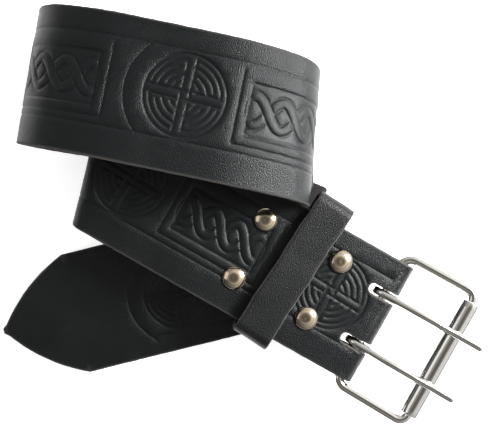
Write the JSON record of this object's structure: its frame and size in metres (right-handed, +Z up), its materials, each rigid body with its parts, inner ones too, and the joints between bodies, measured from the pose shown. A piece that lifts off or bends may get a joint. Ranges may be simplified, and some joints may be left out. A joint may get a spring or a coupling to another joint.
{
  "type": "kilt belt",
  "caption": "Wide embossed leather kilt belt with a double-prong roller buckle and keeper loop, lying folded up.",
  "frame": {"origin": "bottom centre of the bounding box, on the surface that the folded belt lies on", "axes": "+Z up; +X along the buckle end of the strap, towards the roller; +Y towards the top loop"},
  "size_m": [0.234, 0.1824, 0.057],
  "materials": {
    "strap_leather": "pebbled grain with smooth pressed pattern",
    "keeper_leather": "pebbled grain",
    "nickel": "polished nickel plate",
    "rivet_nickel": "polished nickel plate, slightly warm"
  },
  "bodies": {
    "belt": {"strap": "strap_leather", "strap_flap": "strap_leather", "strap_band_1": "strap_leather", "strap_band_2": "strap_leather", "strap_band_3": "strap_leather", "keeper": "keeper_leather", "rivet_1": "rivet_nickel", "rivet_2": "rivet_nickel", "rivet_3": "rivet_nickel", "rivet_4": "rivet_nickel"},
    "frame": {"buckle_frame": "nickel"},
    "roller": {"roller": "nickel"},
    "prong_far": {"prong_1": "nickel"},
    "prong_near": {"prong_2": "nickel"}
  },
  "joints": [
    {"name": "frame_swing", "type": "hinge", "parent": "belt", "child": "frame", "pos_m": [0.0726, 0.0015, 0.0216], "axis": [0, -1, 0], "range_deg": [-20, 35]},
    {"name": "prong_far_swing", "type": "hinge", "parent": "frame", "child": "prong_far", "pos_m": [0.0726, 0.01379, 0.0216], "axis": [0, -1, 0], "range_deg": [0, 55]},
    {"name": "prong_near_swing", "type": "hinge", "parent": "frame", "child": "prong_near", "pos_m": [0.0726, -0.01081, 0.0216], "axis": [0, -1, 0], "range_deg": [0, 55]},
    {"name": "roller_spin", "type": "hinge", "parent": "frame", "child": "roller", "pos_m": [0.10569, 0.0015, 0.02744], "axis": [0, -1, 0], "continuous": true}
  ]
}
